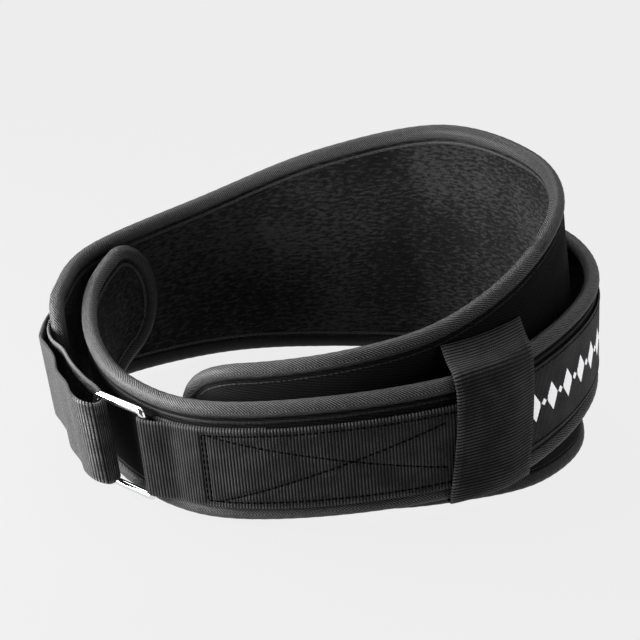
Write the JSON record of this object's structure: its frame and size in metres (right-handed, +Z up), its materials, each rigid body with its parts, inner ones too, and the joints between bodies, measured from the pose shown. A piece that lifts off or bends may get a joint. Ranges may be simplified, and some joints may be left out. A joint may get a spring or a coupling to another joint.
{
  "type": "weightlifting belt",
  "caption": "Padded black weightlifting belt, fastened into a loop: wide contoured back pad, narrower front belt, webbing, steel ring and elastic keeper.",
  "frame": {"origin": "middle of the base of the bounding box, on the floor the belt stands on", "axes": "+X along the long axis of the loop, away from the buckle; +Y towards the wearer's back side of the loop; +Z up, along the width of the belt"},
  "size_m": [0.3158, 0.2702, 0.1554],
  "materials": {
    "pad_cloth": "matte brushed tricot",
    "binding_tape": "matte twill tape",
    "webbing": "ribbed nylon webbing",
    "ring_metal": "polished",
    "elastic": "ribbed elastic",
    "label_cloth": "fine ribbed tape"
  },
  "bodies": {
    "root": {"back_panel": "pad_cloth", "back_binding": "binding_tape", "front_panel": "pad_cloth", "front_binding": "binding_tape", "buckle_webbing": "webbing", "pull_webbing": "webbing", "ring": "ring_metal", "keeper": "elastic", "label": "label_cloth"}
  },
  "joints": []
}
